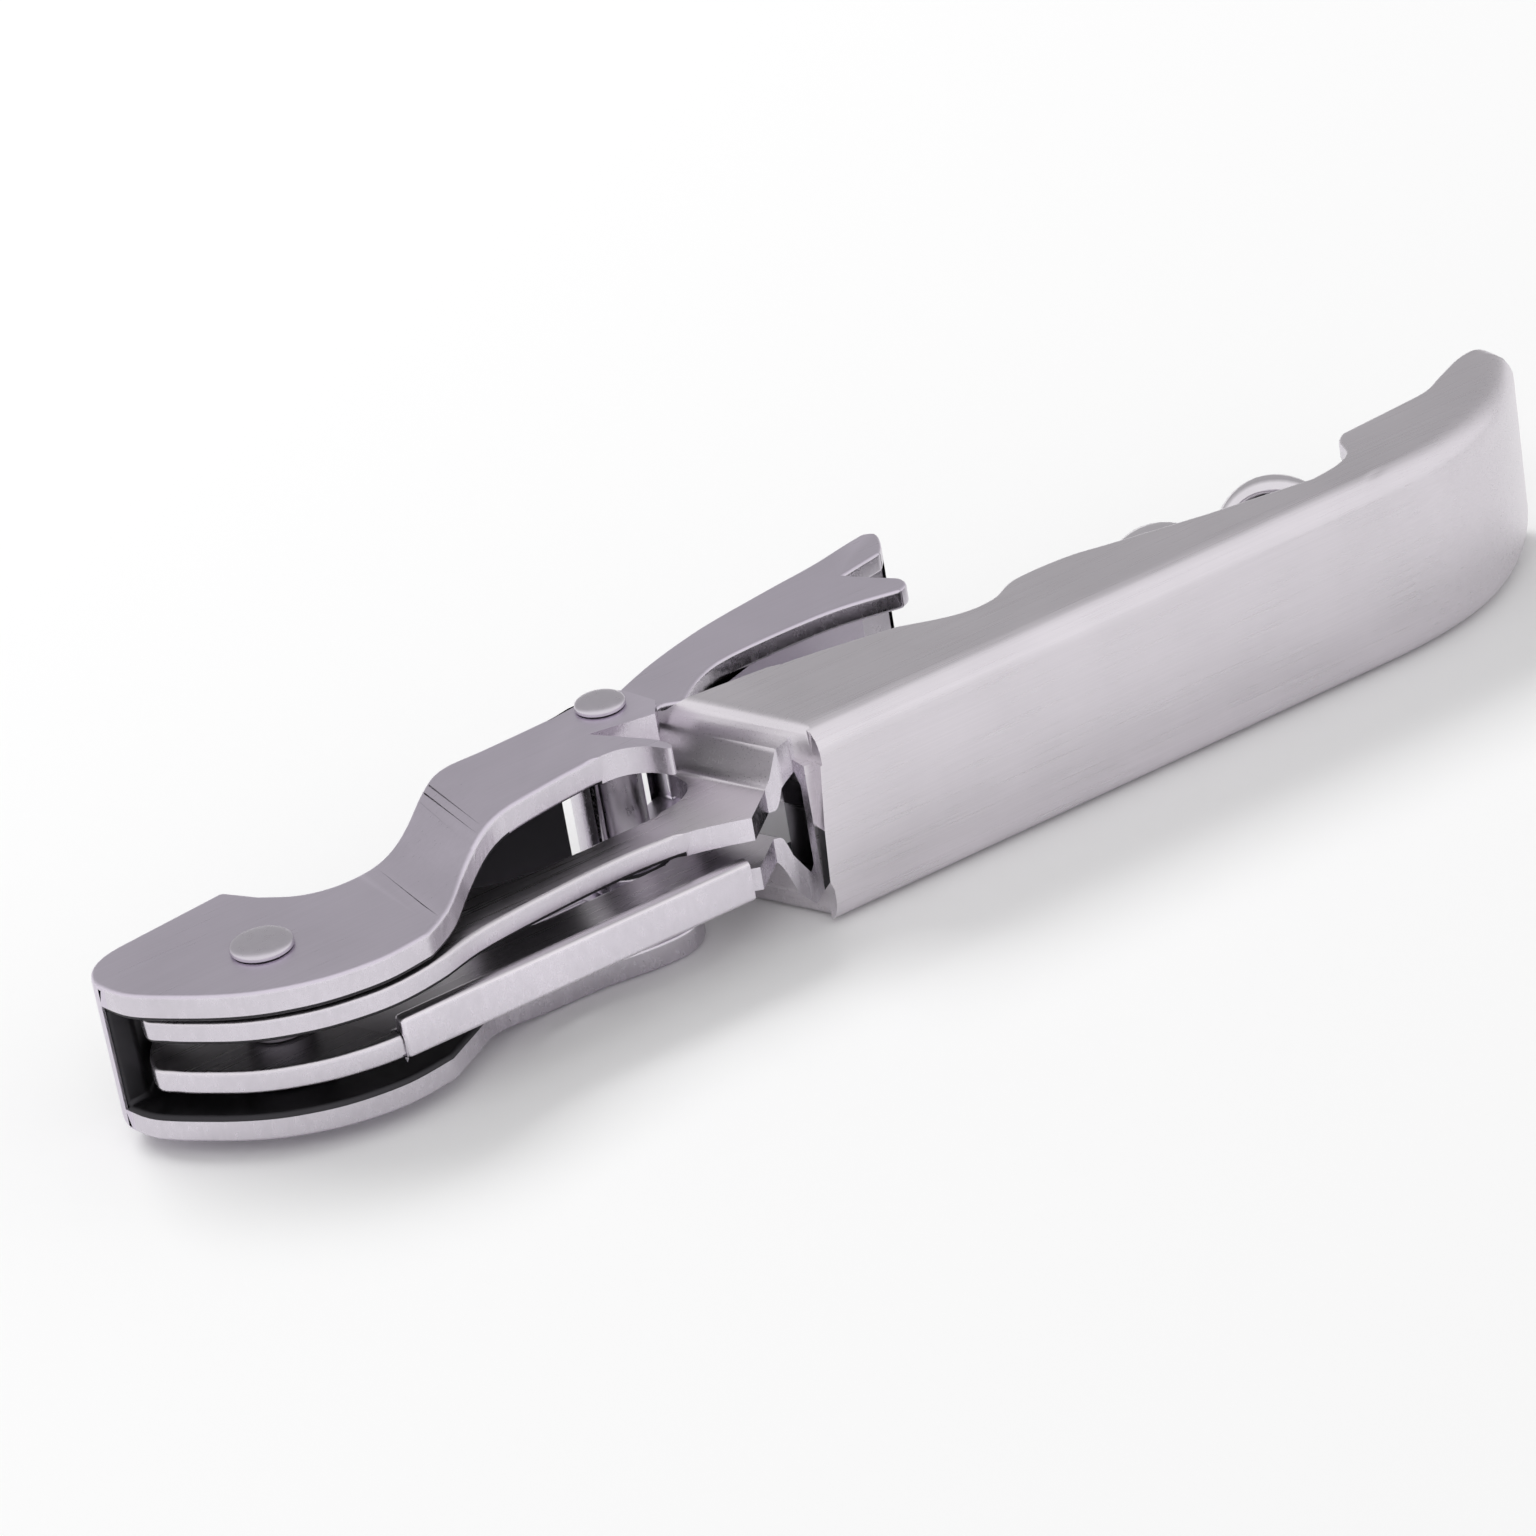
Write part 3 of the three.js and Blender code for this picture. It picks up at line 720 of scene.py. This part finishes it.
# %% [markdown]
# The worm is one round wire: an eye round its pin, a straight shank, four open turns and a ground
# point. A curve with a radius at every point is the natural way to draw it, and it is made a mesh at
# the end. It leans a little out of the handle's open side.

# %% The worm
WIRE, COIL, PITCH, TURNS, SHANK = 1.5, 3.2, 10.8, 4.0, 6.8
WORM_TILT, EYE_HALF = 3.2, 2.6
lean_out = Matrix.Rotation(math.radians(WORM_TILT), 3, "Z")


def worm_point(x, y, z):
    return place(*WORM_PIVOT, WORM_LEVEL) + (lean_out @ Vector((x, y, z))) * MM


def worm():
    path = [((2.2 + (SHANK - 2.2) * s / 8, 0, 0), 1.0) for s in range(8)]
    steps = 40
    for s in range(int(TURNS * steps) + 1):
        turn = s / steps
        t = min(turn / 0.7, 1)
        spread = COIL * t * t * (3 - 2 * t)
        angle = 2 * math.pi * turn - math.pi / 2
        left = TURNS - turn
        thick = 0.06 + 0.94 * min(1, left / 0.95) ** 0.7
        path.append(((SHANK + turn * PITCH, spread * math.cos(angle), spread * math.sin(angle)), thick))
    curve = bpy.data.curves.new("worm", "CURVE")
    curve.dimensions = "3D"
    curve.bevel_depth, curve.bevel_resolution, curve.use_fill_caps = WIRE * MM, 5, True
    line = curve.splines.new("POLY")
    line.points.add(len(path) - 1)
    for point, (where, thick) in zip(line.points, path):
        point.co = (*worm_point(*where), 1)
        point.radius = thick
    obj = bpy.data.objects.new("worm_wire", curve)
    bpy.context.scene.collection.objects.link(obj)
    only(obj)
    bpy.ops.object.convert(target="MESH")
    return edit(bpy.context.object, lambda: bpy.ops.mesh.remove_doubles(threshold=0.002 * MM), outward)


eye = ring(WORM_PIVOT, 1.25 + 1.3 * FIT, 3.0, WORM_LEVEL - EYE_HALF, WORM_LEVEL + EYE_HALF, round_off=0.5)
wire = join(worm(), eye)
only(wire)
bpy.ops.object.shade_smooth_by_angle(angle=math.radians(40))
finished(wire, "worm_wire", "worm", WORM, "worm")


# %% The worm's pin and spacers
def pin(centre, radius, low, high):
    r = 0.15
    return turned("pin", centre, [(0, low), (radius - r, low), (radius, low + r), (radius, high - r),
                                  (radius - r, high), (0, high)])


wall_in = inside((0, WIDTH), HANDLE_SHEET)
finished(pin(WORM_PIVOT, 1.25, *wall_in), "worm_axle", "handle", RIVET, "worm_pin")
# The spacers use the darkened steel: painted shade inside the channel.
finished(ring(WORM_PIVOT, 1.25 + FIT, 2.4, wall_in[0], WORM_LEVEL - EYE_HALF - FIT),
         "worm_sleeve_lower", "handle", WASHER_PAINTED_SHADE, "worm_spacer_lower")
finished(ring(WORM_PIVOT, 1.25 + FIT, 2.4, WORM_LEVEL + EYE_HALF + FIT, wall_in[1]),
         "worm_sleeve_upper", "handle", WASHER_PAINTED_SHADE, "worm_spacer_upper")


# %% [markdown]
# The foil knife is a short hooked blade that folds into the tail end of the channel. It is cut from
# sheet like the rest, and its edge is ground from both faces.


# %% The knife
def knife_outline():
    x, y = KNIFE_PIVOT
    o = Outline(x - 1.4, y + 2.1).line((34.0, 9.4)).bend((28.6, 9.2), (26.2, 6.6))
    o.bend((29.6, 2.9), (35.0, 2.8))
    o.line((50.4, 2.8)).bend((51.6, 4.2), (53.4, 4.3)).line((x - 1.5, y - 1.95))
    return o.line(*arc((x, y), 2.45, 232, 482, 20)[1:-1])


blade = plate("blade", knife_outline(), KNIFE_LEVEL, KNIFE_LEVEL + KNIFE_THICKNESS)
grind = [(50.4, 1.5), (50.4, 2.6), (35.2, 4.4), (31.5, 5.2), (26.5, 6.5), (24, 5.5), (24, 1.5)]
for level, way in ((KNIFE_LEVEL, -1), (KNIFE_LEVEL + KNIFE_THICKNESS, 1)):
    low, high = (-0.02, 1) if way > 0 else (-1, 0.02)
    tool = plate("grind", grind, level + low, level + high)
    centre = place(38, 4.6, level)
    tilt = Matrix.Rotation(math.radians(-way * 12), 4, "X")
    tool.data.transform(Matrix.Translation(centre) @ tilt @ Matrix.Translation(-centre))
    cut(blade, tool)
cut(blade, rod(KNIFE_PIVOT, 1.1 + 1.3 * FIT, 0, 9))
clean(blade)
soften(blade, 0.1, segments=2)
finished(blade, "foil_knife", "knife", BLADE, "knife_blade")

# %% The knife's pin, washer and spacer
finished(pin(KNIFE_PIVOT, 1.1, *wall_in), "knife_axle", "handle", RIVET, "knife_pin")
# The shim and spacer use the darkened steel: painted shade inside the channel.
finished(ring(KNIFE_PIVOT, 1.1 + FIT, 2.1, wall_in[0], KNIFE_LEVEL - FIT),
         "knife_shim", "handle", WASHER_PAINTED_SHADE, "knife_washer")
finished(ring(KNIFE_PIVOT, 1.1 + FIT, 2.1, KNIFE_LEVEL + KNIFE_THICKNESS + FIT, wall_in[1]),
         "knife_sleeve", "handle", WASHER_PAINTED_SHADE, "knife_spacer")

# %% [markdown]
# A plain white table top. It is lit close to white, so that little more than the soft shadow near
# the steel is left to see.

# %% Floor
bpy.ops.object.select_all(action="DESELECT")
bpy.ops.mesh.primitive_grid_add(x_subdivisions=4, y_subdivisions=4, size=6.0, location=(0, 0, -0.00005))
floor = bpy.context.object
floor.name = "table_top"
paper = bpy.data.materials.new("white_table")
paper.use_nodes = True
paper.node_tree.nodes["Principled BSDF"].inputs["Base Color"].default_value = (0.93, 0.93, 0.93, 1)
paper.node_tree.nodes["Principled BSDF"].inputs["Roughness"].default_value = 0.9
paper.node_tree.nodes["Principled BSDF"].inputs["Specular IOR Level"].default_value = 0.1
floor.data.materials.append(paper)

# %% [markdown]
# The camera looks along the handle from the hinge end, a hand's breadth above the table, tipped so
# that the handle climbs to the right. It is placed from a known corner, the foot of the handle's cut
# end: the camera aims a little to the left of it and above it, in the plane across the view.

# %% Camera
AZIMUTH, ELEVATION, ROLL = math.radians(-28.47), math.radians(28.0), math.radians(9.87)
DISTANCE = 450 * MM
LENS = 149.56
AIM_LEFT, AIM_ABOVE = 4.937 * MM, 11.495 * MM
forward = Vector((-math.sin(AZIMUTH) * math.cos(ELEVATION), math.cos(AZIMUTH) * math.cos(ELEVATION),
                  -math.sin(ELEVATION)))
level_right = Vector((math.cos(AZIMUTH), math.sin(AZIMUTH), 0))
level_up = level_right.cross(forward)
right = math.cos(ROLL) * level_right - math.sin(ROLL) * level_up
up = math.sin(ROLL) * level_right + math.cos(ROLL) * level_up
aim = place(0, 0, 0) - AIM_LEFT * right + AIM_ABOVE * up
eye_point = aim - DISTANCE * forward
camera_data = bpy.data.cameras.new("camera")
camera_data.sensor_width = 36
camera_data.lens = LENS
camera_data.clip_start, camera_data.clip_end = 0.01, 20
camera = bpy.data.objects.new("camera", camera_data)
bpy.context.scene.collection.objects.link(camera)
camera.matrix_world = Matrix.Translation(eye_point) @ Matrix((right, up, -forward)).transposed().to_4x4()
bpy.context.scene.camera = camera
print("lens, mm:", round(camera_data.lens, 1))

# %% [markdown]
# Steel shows its surroundings, so the light is mostly a bright room: a pale sky that is darker high
# at the back, where the flat upper faces look, and two broad soft boxes for the highlights.

# %% Light
world = bpy.data.worlds.new("studio")
bpy.context.scene.world = world
world.use_nodes = True
nodes, links = world.node_tree.nodes, world.node_tree.links
sky = nodes["Background"]
way = nodes.new("ShaderNodeTexCoord")
towards_card = nodes.new("ShaderNodeVectorMath")
towards_card.operation = "DOT_PRODUCT"
towards_card.inputs[1].default_value = (0.42, 0.776, 0.469)
links.new(way.outputs["Generated"], towards_card.inputs[0])
ramp = nodes.new("ShaderNodeValToRGB")
links.new(towards_card.outputs["Value"], ramp.inputs["Fac"])
ramp.color_ramp.elements[0].position, ramp.color_ramp.elements[1].position = 0.35, 0.80
for stop, value in zip(ramp.color_ramp.elements, (1.0, 0.50)):
    stop.color = (value, value, value, 1)
links.new(ramp.outputs["Color"], sky.inputs["Color"])
# The steel sees the whole bright room, while most of the table's light comes from the boxes.
ray = nodes.new("ShaderNodeLightPath")
strength = nodes.new("ShaderNodeMapRange")
strength.inputs["To Min"].default_value, strength.inputs["To Max"].default_value = 1.04, 0.72
links.new(ray.outputs["Is Diffuse Ray"], strength.inputs["Value"])
links.new(strength.outputs["Result"], sky.inputs["Strength"])


def soft_box(name, where, size, watts):
    data = bpy.data.lights.new(name, "AREA")
    data.shape, data.size, data.size_y, data.energy = "RECTANGLE", size[0], size[1], watts
    box = bpy.data.objects.new(name, data)
    bpy.context.scene.collection.objects.link(box)
    box.location = where
    box.rotation_euler = (-Vector(where)).to_track_quat("-Z", "Y").to_euler()
    box.visible_glossy = False
    return box


soft_box("front_box", (-0.45, -0.7, 0.9), (0.7, 0.4), 1.4)
soft_box("back_box", (-0.2, 0.7, 0.9), (0.9, 0.5), 7)

# %% [markdown]
# The picture is shown with plain colours, so that white paper is white.

bpy.context.scene.view_settings.view_transform = "Standard"
